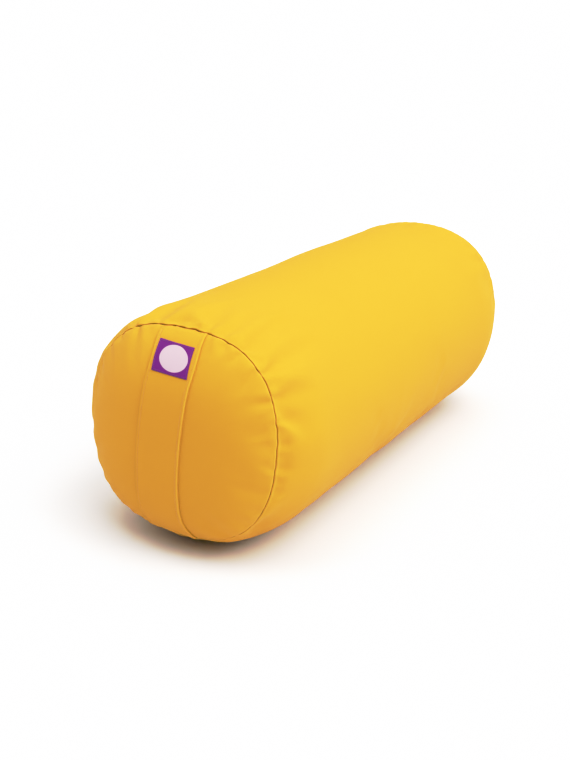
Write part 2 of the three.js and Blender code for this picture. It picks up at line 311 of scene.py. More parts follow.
def addGrid(name, points, flats, shade=None):  # a grid shaped to points, its sides and ends then joined
    rows, columns = points.shape[:2]
    bpy.ops.object.select_all(action="DESELECT")
    bpy.ops.mesh.primitive_grid_add(x_subdivisions=columns - 1, y_subdivisions=rows - 1, size=1)
    piece = bpy.context.object
    piece.name = piece.data.name = name
    mesh = piece.data
    placed = points + np.array(roll["place"])
    mesh.vertices.foreach_set("co", placed.reshape(-1).astype(np.float32))
    corners = np.empty(len(mesh.loops), dtype=np.int32)
    mesh.loops.foreach_get("vertex_index", corners)
    layer = mesh.uv_layers[0]
    layer.name = "cloth"
    layer.data.foreach_set("uv", flats.reshape(-1, 2)[corners].reshape(-1).astype(np.float32))
    if shade is not None:
        values = mesh.attributes.new("shade", "FLOAT", "POINT")
        values.data.foreach_set("value", shade.reshape(-1).astype(np.float32))
    mesh.update()
    editAll(bpy.ops.mesh.remove_doubles, threshold=1e-6)
    return piece


def editOpenEdges():
    bpy.ops.object.mode_set(mode="EDIT")
    bpy.ops.mesh.select_all(action="DESELECT")
    bpy.ops.mesh.select_mode(type="EDGE")
    bpy.ops.mesh.select_non_manifold(extend=False)


def closeUp(piece):  # fills open ends, turns the faces outwards and smooths them
    editOpenEdges()
    bpy.ops.mesh.fill_holes(sides=0)
    bpy.ops.mesh.select_mode(type="VERT")
    editAll(bpy.ops.mesh.normals_make_consistent, inside=False)
    bpy.ops.object.shade_smooth()
    return piece


# where the fine meshes have a row, out from a seam
seamRows = np.array([0.13, 0.21, 0.32, 0.5, 0.8, 1.1, 1.5, 2, 2.7, 3.5, 4.5, 5.7, 7, 8.5, 10.2, 12.2, 14.5,
                     17.2, 20.2, 23.5, 27.2, 31.2, 35.5, 40, 45, 50]) * mm
wallRows = np.array([1.0, 0.6, 0.3]) * seam["allowance"]  # rows down inside the seam
underRows = np.array([100, 85, 65, 45, 30, 20, 12, 7, 3, 0.4]) * mm  # and under an end panel
shoulderRows = {"from": 5 * mm, "step": 6 * mm, "until": 2 * mm, "clear": 3 * mm}  # beyond the seam rows

besideClosing = np.array([0.09, 0.2, 0.4, 0.68])  # degrees, more columns beside the closing seam
turns = np.concatenate([np.linspace(0, 360, roll["columns"] + 1), besideClosing, 360 - besideClosing])
around = np.radians(roll["closingSeam"] + np.sort(turns))
panel = {
    "thickness": 0.9 * mm, "clear": 0.6 * mm,
    "foldsUnder": 0.6,  # the gathers' strength in the filling below it
    "rows": np.arange(56, 110, 7) * mm,  # towards its middle
}


def ringsOf(end):  # the end's rows from its middle out and over the shoulder, with their stations
    under = panel["thickness"] + panel["clear"]
    pole = crownPoints(end, around * 0, np.array(panelRadius), under)
    made = [(np.repeat(pole[:1], len(around), 0), half + panelRadius)]
    for away in underRows:
        made.append((crownPoints(end, around, away, under, panel["foldsUnder"]), half + away))
    for extra in wallRows:
        made.append((tubePoints(end, around, seamRows[0], extra), half + extra))
    further = np.arange(seamRows[-1] + shoulderRows["from"], end["shoulder"] - shoulderRows["until"],
                        shoulderRows["step"])
    near = seamRows[seamRows < end["shoulder"] - shoulderRows["clear"]]
    for away in np.concatenate([near, further, [end["shoulder"]]]):
        made.append((tubePoints(end, around, away), half - away))
    return [(points, end["side"] * station) for points, station in made]


def middlePoints(angle, station):  # the tube between the shoulders, its two sides drawn into one another
    start, stop = shoulders
    first = tubePoints(handleEnd, angle, handleEnd["shoulder"]) - clothShift(angle, start)
    last = tubePoints(plainEnd, angle, plainEnd["shoulder"]) - clothShift(angle, stop)
    points = first + (last - first) * (station - start) / (stop - start) + clothShift(angle, station)
    points[..., 2] = restOnFloor(points[..., 2])
    return points


def rollRows():
    start, stop = shoulders
    steps = int((stop - start) / roll["middleStep"])
    places = start + (stop - start) * np.arange(1, steps) / steps
    between = [(middlePoints(around, place), place) for place in places]
    every = ringsOf(handleEnd) + between + ringsOf(plainEnd)[::-1]
    return np.stack([points for points, _ in every]), np.array([station for _, station in every])


# the cloth simulation: a coarse shell of the tube and the two discs, blown up as the filling does it
shell = {
    "beside": np.array([0, 2.7, 5.5, 8.5, 12, 16, 20.5, 25.5, 30.5, 36]) * mm,  # rows beside a seam
    "inner": np.array([44, 54, 66, 80, 95]) * mm, "step": 5.6 * mm,
    "pressure": 4, "frames": 20,
    "excess": 0.05, "excessReach": 24 * mm, "excessEverywhere": 0.15,  # cloth to spare beside the seams
    "stiffness": 15, "shear": 5, "bending": 2, "mass": 0.1, "quality": 5,
    "onPanels": 0.6,  # the end panels are smoother than the tube
    "heldCrown": 38 * mm,  # from here inwards an end panel stays as it is
    "handleAt": -4 * mm, "handleHalf": 27 * mm,  # and so it does as near as this to the handle
    "heldLow": 0.8 * mm,  # and near the floor
    "onSeam": 0.1 * mm,  # closer to a seam than this is on it
    "kept": 4,  # waves around the roll that the form already has
    "cap": 4 * mm,
}


def shellRows():
    out = np.concatenate([shell["beside"], shell["inner"]])
    start, stop = shell["beside"][-1] - half, half - shell["beside"][-1]
    steps = int((stop - start) / shell["step"])
    places = start + (stop - start) * np.arange(1, steps) / steps
    return np.concatenate([[-half - panelRadius], -half - out[::-1], shell["beside"][1:] - half, places,
                           half - shell["beside"][:0:-1], half + out, [half + panelRadius]])


def formPoints(angle, station):  # the form at any station along the cloth
    end = handleEnd if station < 0 else plainEnd
    away = half - abs(station)
    if away <= 0:
        return crownPoints(end, angle, np.array(-away))
    if away <= end["shoulder"]:
        return tubePoints(end, angle, np.array(away))
    return middlePoints(angle, station)


def holdOf(angle, rows, points):  # 1 where the cloth is held and 0 where it is free
    held = np.zeros(points.shape[:2])
    held[np.abs(np.abs(rows) - half) < shell["onSeam"]] = 1
    held[np.abs(rows) > half + shell["heldCrown"]] = 1
    beside = np.abs(points[..., 1] - shell["handleAt"])
    atHandle = (rows[:, None] < -half) & (beside < shell["handleHalf"])
    low = -middle["radius"] * (1 - middle["wide"]) + roll["flatDepth"] + shell["heldLow"]
    held[atHandle | (points[..., 2] < low)] = 1
    return held


def addShell(start):  # the shell's mesh, and which of its points each point of the grid is
    piece = addGrid("cloth_shell", start, np.zeros(start.shape[:2] + (2,)))
    editAll(bpy.ops.mesh.normals_make_consistent, inside=False)
    tree = kdtree.KDTree(len(piece.data.vertices))
    for vertex in piece.data.vertices:
        tree.insert(vertex.co, vertex.index)
    tree.balance()
    place = np.array(roll["place"])
    index = np.array([tree.find(point)[1] for point in (start + place).reshape(-1, 3)])
    return piece, index


def blowUp(piece):  # the cloth simulation itself
    bpy.ops.object.modifier_add(type="CLOTH")
    modifier = piece.modifiers[-1]
    settings = modifier.settings
    settings.quality = shell["quality"]
    settings.mass = shell["mass"]
    settings.tension_stiffness = shell["stiffness"]
    settings.compression_stiffness = shell["stiffness"]
    settings.shear_stiffness = shell["shear"]
    settings.bending_stiffness = shell["bending"]
    settings.use_pressure = True
    settings.uniform_pressure_force = shell["pressure"]
    settings.vertex_group_mass = "held"
    settings.vertex_group_shrink = "plain"
    settings.shrink_min = -shell["excess"]
    settings.shrink_max = 0
    settings.effector_weights.gravity = 0
    modifier.collision_settings.use_collision = False
    modifier.point_cache.frame_end = shell["frames"]
    for number in range(1, shell["frames"] + 1):
        bpy.context.scene.frame_set(number)
    blown = piece.evaluated_get(bpy.context.evaluated_depsgraph_get())
    found = np.empty(len(piece.data.vertices) * 3)
    blown.data.vertices.foreach_get("co", found)
    bpy.ops.object.delete()
    bpy.context.scene.frame_set(1)
    return found.reshape(-1, 3)


def evened(moves):  # each place drawn towards its neighbours around the roll and along it
    moves = moves / 2 + (np.roll(moves, 1, 1) + np.roll(moves, -1, 1)) / 4
    moves[1:-1] = moves[1:-1] / 2 + (moves[2:] + moves[:-2]) / 4
    return moves


def newWaves(moves, angle):  # leaves out the swelling that the form already has, and caps the rest
    out = np.stack([np.cos(angle), np.sin(angle)], -1)
    radial = (moves[..., 1:] * out).sum(-1)
    turned = moves[..., 2] * out[:, 0] - moves[..., 1] * out[:, 1]
    parts = np.stack([moves[..., 0], radial, turned])
    waves = np.fft.rfft(parts, axis=2)
    waves[..., :shell["kept"]] = 0
    along, radial, turned = np.fft.irfft(waves, n=len(angle), axis=2)
    moves = np.stack([along, radial * out[:, 0] - turned * out[:, 1],
                      radial * out[:, 1] + turned * out[:, 0]], -1)
    size = np.linalg.norm(moves, axis=-1, keepdims=True)
    return moves * shell["cap"] * np.tanh(size / shell["cap"]) / np.maximum(size, 1e-9)


def addWeights(piece, index, rows, held):  # what is held, and how little cloth each row has to spare
    pins = piece.vertex_groups.new(name="held")
    plain = piece.vertex_groups.new(name="plain")
    beside = np.abs(np.abs(rows) - half)
    share = np.exp(-(beside / shell["excessReach"]) ** 2)
    share = shell["excessEverywhere"] + (1 - shell["excessEverywhere"]) * share
    index = index.reshape(held.shape)
    for row, weight in enumerate(share):
        plain.add(np.unique(index[row]).tolist(), 1 - float(weight), "REPLACE")
    pins.add(np.unique(index[held > 0]).tolist(), 1, "REPLACE")


def simulateCloth():
    rows = shellRows()
    angle = np.radians(roll["closingSeam"] + np.arange(cloth["columns"] + 1) * 360 / cloth["columns"])
    start = np.stack([np.broadcast_to(formPoints(angle, row), (len(angle), 3)) for row in rows])
    piece, index = addShell(start)
    addWeights(piece, index, rows, holdOf(angle, rows, start))
    moved = blowUp(piece)[index].reshape(start.shape) - np.array(roll["place"]) - start
    moves = evened(newWaves(moved[:, :-1], angle[:-1]))
    moves[np.abs(np.abs(rows) - half) < shell["onSeam"]] = 0
    moves[np.abs(rows) > half] *= shell["onPanels"]
    calmer = (1 - plainEnd["folds"]) * np.clip(rows / half, 0, 1)  # less and less towards the plain end
    moves *= (1 - calmer)[:, None, None]
    return rows, moves


cloth["rows"], cloth["moves"] = simulateCloth()
print("cloth simulated, moved at most", round(float(np.abs(cloth["moves"]).max() / mm), 2), "mm")

rollPoints, stations = rollRows()
fromSeam = half - np.abs(stations)[:, None]
# painted shade in the seams and painted highlight on the ridges beside them
rollShade = np.where(stations[:, None] < 0, seamShade(handleEnd, around, fromSeam),
                     seamShade(plainEnd, around, fromSeam))
unrolled = (around - around[0]) * middle["radius"]
rollFlats = np.stack(np.broadcast_arrays(unrolled[None, :], stations[:, None]), -1)
rollCloth = closeUp(addGrid("bolster_roll", rollPoints, rollFlats, rollShade))
print("roll", len(rollCloth.data.vertices), "points")


# the handle: a flat band of folded cloth over the panel, sewn in at the top and the bottom
band = {
    "width": 46 * mm,  # as cut; then, in even steps from the top, its widths in place and its middle line
    "widths": np.array([47, 46.1, 45.4, 45, 44.7, 44.9, 45.5, 47, 49]) * mm,
    "middle": np.array([-1.6, -6, -5.2, -3.9, -2, -0.8, -0.3, -0.2, -4]) * mm,
    "thickness": 1.35 * mm, "clear": 0.08 * mm,
    "hem": 0.25 * mm, "hemWidth": 3.2 * mm, "hemRound": 0.35 * mm,  # the folded hems stand a little proud
    "groove": 0.12 * mm, "grooveWidth": 0.5 * mm,
    "nose": np.radians([0, 10, 22, 35, 48, 60, 71, 80]), "edge": 0.9 * mm,  # round the fold, and its width
    "leastRise": 0.04,  # the share of its thickness at the very edge
    "fromEdge": np.array([1.1, 1.5, 2, 2.5, 2.8, 3, 3.2, 3.4, 3.6, 3.9, 4.5, 6, 9, 13, 18, 22.5]) * mm,
    "under": np.array([0.9, 0.6, 0.3, 0, -0.3, -0.6, -0.9]),
    "paintedHighlight": np.array([0.0, 0.6]), "highlightAt": 0.9 * mm, "highlightWidth": 0.55 * mm,  # each edge's painted highlight along its fold
    "highlightFade": (0.3, 2.2),  # at the top, and how fast it comes on
    "edgeShade": np.array([0.6, 0.25]), "edgeShadeWidth": np.array([1.0, 0.4]) * mm,  # painted shade: the dark line at either edge
    "pressed": 1.0 * mm, "pressedReach": 7 * mm,  # its thickness where it's sewn in
    "blend": 0.5 * mm, "follow": 14,  # how the panel's gathers give way under it
    "rows": 150,
    "endRows": np.array([0, 0.0006, 0.0014, 0.0026, 0.0044, 0.007, 0.0105, 0.015, 0.021, 0.029, 0.039]),
    "stitched": (0.02, 0.975),  # where its stitches start and stop
}


def unit(arrows):
    return arrows / np.maximum(np.linalg.norm(arrows, axis=-1, keepdims=True), 1e-12)


def onSteps(table, along):  # a smooth line through even steps
    last = len(table) - 1
    at = np.clip(along, 0, 1) * last
    return sum(share * table[np.clip(index, 0, last)] for index, share in fourShares(at))


def softStep(past, width):  # 1 well before a place and 0 well past it
    return 1 / (1 + np.exp(np.clip(past / width, -40, 40)))


def fromMiddle(y, z):  # the angle of a place on the handle's end, and its share of the way to the rim
    y, z = y - handleEnd["aside"], z - handleEnd["rise"]
    angle = np.arctan2(z, y)
    rimY, rimZ = sectionAt(handleEnd, angle)
    reach = np.hypot(rimY - handleEnd["aside"], rimZ - handleEnd["rise"])
    return angle, np.hypot(y, z) / reach, reach


def rimHeight(y, up):  # where a line at y meets the seam, above (1) or below (-1)
    z = up * handleEnd["radius"] * np.ones_like(y)
    for _ in range(12):  # it has settled by then
        reach = fromMiddle(y, z)[2]
        z = handleEnd["rise"] + up * np.sqrt(reach ** 2 - (y - handleEnd["aside"]) ** 2)
    return z


def underBand(angle, share):  # 1 under the handle and 0 beside it
    y, z = sectionAt(handleEnd, angle, share)
    across = np.clip(y, -50 * mm, 50 * mm)  # the handle is well within this
    top, bottom = rimHeight(across, 1), rimHeight(across, -1)
    along = (top - z) / (top - bottom)
    beside = np.abs(y - onSteps(band["middle"], along)) - onSteps(band["widths"], along) / 2
    return softStep(beside, band["blend"])


def pressedAt(away):  # 1 where the handle is sewn in
    return np.exp(-(away / band["pressedReach"]) ** 2)


def panelCloth(end, away, deep=0.0):  # a round of an end panel's points
    if end is plainEnd:
        return crownPoints(end, around, away, deep)
    share = shareAt(away) * np.ones_like(around)
    away = awayAt(share)
    under = underBand(around, share)
    folds = 1 - under * (1 - share ** band["follow"])
    return crownPoints(end, around, away, under * band["pressed"] * pressedAt(away) + deep, folds)


def panelRows(end):
    thick = panel["thickness"]
    inRows = np.concatenate([seamRows, panel["rows"]])
    backRows = np.concatenate([[seamRows[0]], inRows[4::3]])
    rows = [panelCloth(end, away) for away in inRows[::-1]]
    rows += [panelCloth(end, away, thick) for away in backRows]
    front, back = [crownPoints(end, around * 0, np.array(panelRadius), deep) for deep in (0, thick)]
    lengths = panelRadius - np.concatenate([[panelRadius], inRows[::-1], backRows, [panelRadius]])
    return np.stack([front] + rows + [back]), lengths


def addPanel(name, end):
    points, lengths = panelRows(end)
    flats = np.stack([lengths[:, None] * np.cos(around)[None], lengths[:, None] * np.sin(around)[None]], -1)
    # with painted shade in the seam and painted highlight beside it
    return closeUp(addGrid(name, points, flats, seamShade(end, around, panelRadius - lengths[:, None])))


handlePanel = addPanel("panel_handle_end", handleEnd)
plainPanel = addPanel("panel_plain_end", plainEnd)
print("panels", len(handlePanel.data.vertices), len(plainPanel.data.vertices), "points")


def bandPlace(across, along):
    y = onSteps(band["middle"], along) - across * onSteps(band["widths"], along) / 2
    top, bottom = rimHeight(y, 1), rimHeight(y, -1)
    z = top + (bottom - top) * along
    angle, share, _ = fromMiddle(y, z)
    return angle, np.minimum(share, shareAt(seam["gap"]))


def endPoint(angle, share):  # the cloth that the handle lies on
    away = awayAt(share)
    return crownPoints(handleEnd, angle, away, band["pressed"] * pressedAt(away), share ** band["follow"])


def onEnd(angle, share, height):  # a point at a height over the end, square to its crown
    step = 0.004
    outer = endPoint(angle, np.minimum(share + step, 1)) - endPoint(angle, np.maximum(share - step, 0))
    turned = endPoint(angle + step, share) - endPoint(angle - step, share)
    square = unit(np.cross(turned, outer))
    square *= np.sign(-square[..., :1])  # away from the roll
    return endPoint(angle, share) + square * height[..., None]


def bandThickness(fromEdge):
    past = fromEdge - band["hemWidth"]
    groove = np.exp(-(past / band["grooveWidth"]) ** 2)
    return band["thickness"] + band["hem"] * softStep(past, band["hemRound"]) - band["groove"] * groove


def bandProfile():  # round the folded band: places across it and shares of its thickness
    nose = band["nose"]
    across = np.concatenate([band["edge"] * (1 - np.cos(nose)), band["fromEdge"]])
    rise = np.concatenate([np.maximum(np.sin(nose), band["leastRise"]), np.ones(len(band["fromEdge"]))])
    thick = bandThickness(np.maximum(across, band["edge"])) * rise
    left = across / (band["width"] / 2) - 1
    return (np.concatenate([left, -left[-2::-1], band["under"], left[:1]]),
            np.concatenate([thick, thick[-2::-1], 0 * band["under"], thick[:1]]))


def bandHeight(across, along, thick):  # the height over the panel, pressed where the seams hold the band
    angle, share = bandPlace(across, along)
    away = awayAt(share)
    press = 1 - (1 - band["pressed"] / band["thickness"]) * pressedAt(away)
    return angle, share, band["clear"] + thick * press


def addBand():
    across, thick = bandProfile()
    ends = band["endRows"]
    between = np.linspace(ends[-1], 1 - ends[-1], band["rows"])
    along = np.concatenate([ends[:-1], between, 1 - ends[-2::-1]])
    across, along = np.meshgrid(across, along)
    points = onEnd(*bandHeight(across, along, thick[None, :]))
    flats = np.stack([across * band["width"] / 2, along * 2 * panelRadius], -1)
    fromEdge = (1 - np.abs(across)) * band["width"] / 2
    side = (across > 0).astype(int)
    # painted shade at the foot of each edge, less painted highlight along each fold
    shade = band["edgeShade"][side] * np.exp(-(fromEdge / band["edgeShadeWidth"][side]) ** 2)
    paintedHighlight = band["paintedHighlight"][side] * np.clip(band["highlightFade"][0] + band["highlightFade"][1] * along, 0, 1)
    shade -= paintedHighlight * np.exp(-((fromEdge - band["highlightAt"]) / band["highlightWidth"]) ** 2)
    return closeUp(addGrid("handle_band", points, flats, shade))


handleBand = addBand()
print("handle", len(handleBand.data.vertices), "points")

# sewing thread, lying on the cloth for a stitch and down in it between two
thread = {
    "radius": 0.17 * mm, "sides": 6, "proud": 0.05 * mm, "deep": 0.7 * mm,
    "stitch": 3 * mm, "gap": 0.2, "steps": 9,  # length, its share spent going down, and rings to a stitch
    "turns": (5300.0, 9000.0), "relief": 0.04 * mm,  # how the strands twist round it
    "rough": 0.5, "sheen": 0.1,
}


def stitchLift(count):  # heights over the cloth along a row of stitches
    phase = np.linspace(0, count, count * thread["steps"] + 1) % 1
    down = np.clip(1 - np.minimum(phase, 1 - phase) / (thread["gap"] / 2), 0, 1)
    arch = 0.5 - 0.5 * np.cos(2 * math.pi * phase)
    return thread["proud"] * arch - thread["deep"] * down ** 2


def threadGrid(line, up):  # a round thread along a line of points
    onward = unit(np.gradient(line, axis=0))
    beside = unit(np.cross(onward, up))
    up = np.cross(beside, onward)
    turn = np.linspace(0, 2 * math.pi, thread["sides"] + 1)[None, :, None]
    rings = line[:, None] + thread["radius"] * (np.cos(turn) * up[:, None] + np.sin(turn) * beside[:, None])
    lengths = np.concatenate([[0], np.cumsum(np.linalg.norm(np.diff(line, axis=0), axis=1))])
    flats = np.stack(np.broadcast_arrays(turn[..., 0] * thread["radius"], lengths[:, None]), -1)
    return rings, flats


def addBandStitches(name, side):  # along the folded hem
    across = side * (1 - band["hemWidth"] / (band["width"] / 2))
    start, stop = band["stitched"]
    lift = stitchLift(int((stop - start) * 2 * panelRadius / thread["stitch"]))
    along = np.linspace(start, stop, len(lift))
    thick = bandThickness(np.array(band["hemWidth"]))
    angle, share, height = bandHeight(across + 0 * along, along, thick)
    line = onEnd(angle, share, height + lift)
    return closeUp(addGrid(name, *threadGrid(line, onEnd(angle, share, height + lift + mm) - line)))


bandStitches = [addBandStitches("handle_stitches_left", -1), addBandStitches("handle_stitches_right", 1)]

# the small woven patch on the upper part of the handle
patch = {
    "width": 36 * mm, "height": 28 * mm, "thickness": 0.55 * mm, "clear": 0.12 * mm,
    "y": -5 * mm, "z": 77.7 * mm, "lean": 0.14, "tilt": 0.055,  # its middle, and how askew it is
    "discWidth": 28.5 * mm, "discHeight": 23.2 * mm, "discAside": 1.6 * mm, "discUp": 0.5 * mm,
    "edge": 0.25 * mm, "tooth": 0.12 * mm, "teeth": 30,  # the cut edge
    "toothFrom": 0.49, "leastTop": 0.05,  # shares of its size, and of its thickness squared
    "columns": 60, "rows": 50, "border": 1.3 * mm, "stitches": (14, 11),
}


def patchPoints(right, up, height):  # a place on the patch, from its middle, on the handle's upper face
    z = patch["z"] + (up - patch["tilt"] * right) * patch["slant"]
    y = patch["y"] - right + patch["lean"] * up * patch["slant"]
    angle, share, _ = fromMiddle(y, z)
    return onEnd(angle, share, band["clear"] + band["thickness"] + patch["clear"] + height)


def slantAt(y, z):  # how much of a length up the handle is height
    step = 1 * mm
    angle, share, _ = fromMiddle(y, np.array([z - step, z + step]))
    below, above = endPoint(angle, share)
    return 2 * step / np.linalg.norm(above - below)


patch["slant"] = slantAt(patch["y"], patch["z"])


def patchSteps(count):  # even steps from -0.5 to 0.5, with finer ones at both ends
    inner = np.array([0, 0.12, 0.3])
    steps = np.concatenate([inner, np.linspace(0.8, count - 0.8, count - 2), count - inner[::-1]])
    return steps / count - 0.5


def addPatch():
    tooth, size = patch["tooth"], (patch["width"], patch["height"])
    right, up = np.meshgrid(patchSteps(patch["columns"]) * size[0], -patchSteps(patch["rows"]) * size[1])
    waves = 2 * math.pi * patch["teeth"] / patch["width"]
    atSide, atEnd = [np.abs(place) > patch["toothFrom"] * long for place, long in zip((right, up), size)]
    right, up = (right + np.sign(right) * tooth * np.cos(up * waves) * atSide,
                 up + np.sign(up) * tooth * np.cos(right * waves) * atEnd)
    edge = np.minimum(size[0] / 2 - np.abs(right), size[1] / 2 - np.abs(up))
    rounding = 1 - np.clip((edge + tooth) / patch["edge"], 0, 1)
    top = patch["thickness"] * np.sqrt(np.maximum(1 - rounding ** 2, patch["leastTop"]))
    flats = np.stack([right, up], -1)
    piece = addGrid("woven_patch", patchPoints(right, up, top), flats)
    lower = addGrid("patch_under", patchPoints(right, up, 0 * top), flats)
    bpy.ops.object.select_all(action="DESELECT")
    lower.select_set(True)
    piece.select_set(True)
    bpy.context.view_layer.objects.active = piece
    bpy.ops.object.join()
    editOpenEdges()
    bpy.ops.mesh.bridge_edge_loops()
    bpy.ops.object.mode_set(mode="OBJECT")
    return closeUp(piece)


def addPatchStitches():  # along the patch's border, all round
    right, up = patch["width"] / 2 - patch["border"], patch["height"] / 2 - patch["border"]
    corners = np.array([(-right, up), (right, up), (right, -up), (-right, -up), (-right, up)])
    places, lifts = [], []
    for number, (start, stop) in enumerate(zip(corners[:-1], corners[1:])):
        lift = stitchLift(patch["stitches"][number % 2])
        places.append(start + (stop - start) * np.linspace(0, 1, len(lift))[:, None])
        lifts.append(lift)
    places = np.concatenate([side[:-1] for side in places] + [places[0][:1]])
    lift = np.concatenate([side[:-1] for side in lifts] + [lifts[0][:1]])
    height = patch["thickness"] + lift
    line = patchPoints(places[:, 0], places[:, 1], height)
    rings, flats = threadGrid(line, patchPoints(places[:, 0], places[:, 1], height + mm) - line)
    rings[-1] = rings[0]
    return closeUp(addGrid("patch_stitches", rings, flats))


wovenPatch, patchStitches = addPatch(), addPatchStitches()
print("patch", len(wovenPatch.data.vertices), "points")


class Wire:  # a value on its way through a material
    def __init__(self, finish, socket):
        self.finish, self.socket = finish, socket

    def maths(self, operation, other=None, turned=False):
        values = [self] if other is None else [other, self] if turned else [self, other]
        node = self.finish.node("ShaderNodeMath", {"operation": operation}, dict(enumerate(values)))
        return Wire(self.finish, node.outputs[0])

    def __add__(self, other):
        return self.maths("ADD", other)

    def __sub__(self, other):
        return self.maths("SUBTRACT", other)

    def __rsub__(self, other):
        return self.maths("SUBTRACT", other, True)

    def __mul__(self, other):
        return self.maths("MULTIPLY", other)

    def __pow__(self, other):
        return self.maths("POWER", other)

    def sine(self):
        return self.maths("SINE")

    __radd__, __rmul__ = __add__, __mul__


class Finish:  # the nodes of one material, or of the world
    def __init__(self, owner):
        owner.use_nodes = True
        self.owner, self.tree = owner, owner.node_tree
        self.tree.nodes.clear()

    def node(self, kind, settings=None, sockets=None):
        made = self.tree.nodes.new(kind)
        for name, value in (settings or {}).items():
            setattr(made, name, value)
        for name, value in (sockets or {}).items():
            if isinstance(value, Wire):
                self.tree.links.new(value.socket, made.inputs[name])
            else:
                made.inputs[name].default_value = value
        return made

    def wire(self, kind, settings=None, sockets=None, out=0):
        return Wire(self, self.node(kind, settings, sockets).outputs[out])

    def mix(self, factor, first, second):  # between two colours
        return self.wire("ShaderNodeMix", {"data_type": "RGBA"}, {0: factor, 6: first, 7: second}, 2)

    def relief(self, height, distance, strength=0.6):
        sockets = {"Strength": strength, "Distance": distance, "Height": height}
        return self.wire("ShaderNodeBump", None, sockets)

    def end(self, sockets, kind="ShaderNodeBsdfPrincipled", output="ShaderNodeOutputMaterial"):
        shader = self.node(kind, None, sockets)
        self.tree.links.new(shader.outputs[0], self.node(output).inputs["Surface"])
        return self.owner


def newFinish(name):
    return Finish(bpy.data.materials.new(name))


def colour(red, green, blue):  # a linear colour
    return (red, green, blue, 1)


cotton = {
    "colour": colour(0.605, 0.311, 0.013), "deep": colour(0.565, 0.28, 0.011),
    "mottle": 0.5, "fibre": 0.25, "slubs": 0.35, "paler": 0.15,  # how each turns the colour deeper
    "mottleScale": 9.0, "fibreScale": 900.0, "slubFine": 1400.0, "slubLong": 22.0, "weftLayer": 5.0,
    # painted shade for the seams' creases and the handle's edges, and its share
    "paintedSeamShade": colour(0.12, 0.12, 0.0), "seamShare": 0.55,
    # painted highlight for the ridges beside the seams and along the handle's folds, and its share
    "paintedHighlight": colour(0.78, 0.43, 0.03), "highlightShare": 1.0,
    "pitch": 0.5 * mm, "relief": 0.05 * mm,  # from one thread to the next, and how high they stand
    "heights": (0.8, 0.4, 0.8),  # shares of the relief: weave, fibre, slubs
    "rough": 0.82, "gloss": 0.12, "sheen": 0.1, "sheenRough": 0.5, "sheenTint": colour(0.9, 0.6, 0.2),
}


def flatPlace(finish):  # the piece's own cloth coordinates, in metres
    flat = finish.wire("ShaderNodeUVMap", {"uv_map": "cloth"})
    parts = finish.node("ShaderNodeSeparateXYZ", None, {0: flat})
    return Wire(finish, parts.outputs[0]), Wire(finish, parts.outputs[1])


def noise(finish, place, scale, detail=2.0):
    return finish.wire("ShaderNodeTexNoise", None, {"Vector": place, "Scale": scale, "Detail": detail})


def cottonFinish():
    finish = newFinish("cotton_cloth")
    across, along = flatPlace(finish)
    place = finish.wire("ShaderNodeTexCoord", out=3)
    fine, long = cotton["slubFine"], cotton["slubLong"]  # thick and thin yarns, as streaks along them
    warpWay = finish.wire("ShaderNodeCombineXYZ", None, {0: across * fine, 1: along * long})
    weftWay = finish.wire("ShaderNodeCombineXYZ", None,
                          {0: across * long, 1: along * fine, 2: cotton["weftLayer"]})
    slubs = noise(finish, warpWay, 1.0) * 0.5 + noise(finish, weftWay, 1.0) * 0.5
    turn = math.pi / cotton["pitch"]
    weave = (across * turn).sine() * (along * turn).sine() * 0.5 + 0.5
    mottle = noise(finish, place, cotton["mottleScale"], 3.0)
    fibre = noise(finish, place, cotton["fibreScale"])
    uneven = mottle * cotton["mottle"] + fibre * cotton["fibre"] + slubs * cotton["slubs"] - cotton["paler"]
    tone = finish.mix(uneven, cotton["colour"], cotton["deep"])
    # the shade attribute: above 0 it mixes in painted shade, below 0 painted highlight
    shade = finish.wire("ShaderNodeAttribute", {"attribute_name": "shade"}, out=2)
    tone = finish.mix(shade * cotton["seamShare"], tone, cotton["paintedSeamShade"])
    tone = finish.mix(shade * -cotton["highlightShare"], tone, cotton["paintedHighlight"])
    forWeave, forFibre, forSlubs = cotton["heights"]
    bump = finish.relief(weave * forWeave + fibre * forFibre + slubs * forSlubs, cotton["relief"])
    return finish.end({
        "Base Color": tone, "Roughness": fibre * 0.1 + cotton["rough"], "Normal": bump,
        "Sheen Weight": cotton["sheen"], "Sheen Roughness": cotton["sheenRough"],
        "Sheen Tint": cotton["sheenTint"], "Specular IOR Level": cotton["gloss"]})


woven = {
    "purple": colour(0.18, 0.001, 0.21), "deep": colour(0.15, 0.001, 0.175),
    "pale": colour(0.58, 0.41, 0.47), "discEdge": (1.008, 0.992),
    "pitch": 0.45 * mm, "relief": 0.06 * mm, "rough": 0.6, "gloss": 0.15,
}


def patchFinish():
    finish = newFinish("woven_label")
    across, along = flatPlace(finish)
    right = (across - patch["discAside"]) * (2 / patch["discWidth"])
    up = (along - patch["discUp"]) * (2 / patch["discHeight"])
    reach = (right * right + up * up) ** 0.5
    outer, inner = woven["discEdge"]
    inside = finish.wire("ShaderNodeMapRange", None, {0: reach, 1: outer, 2: inner, 3: 0.0, 4: 1.0})
    turn = math.pi / woven["pitch"]
    ribs = (across * turn).sine() * (along * (2 * turn)).sine() * 0.5 + 0.5
    purple = finish.mix(ribs, woven["deep"], woven["purple"])
    tone = finish.mix(inside, purple, woven["pale"])
    bump = finish.relief(ribs, woven["relief"])
    return finish.end({"Base Color": tone, "Roughness": ribs * 0.1 + woven["rough"], "Normal": bump,
                       "Specular IOR Level": woven["gloss"]})


def threadFinish(name, pale, deep):  # twisted sewing thread
    finish = newFinish(name)
    across, along = flatPlace(finish)
    twist = (across * thread["turns"][0] + along * thread["turns"][1]).sine() * 0.5 + 0.5
    bump = finish.relief(twist, thread["relief"], 0.5)
    return finish.end({"Base Color": finish.mix(twist, deep, pale), "Normal": bump,
                       "Roughness": twist * 0.1 + thread["rough"], "Sheen Weight": thread["sheen"]})


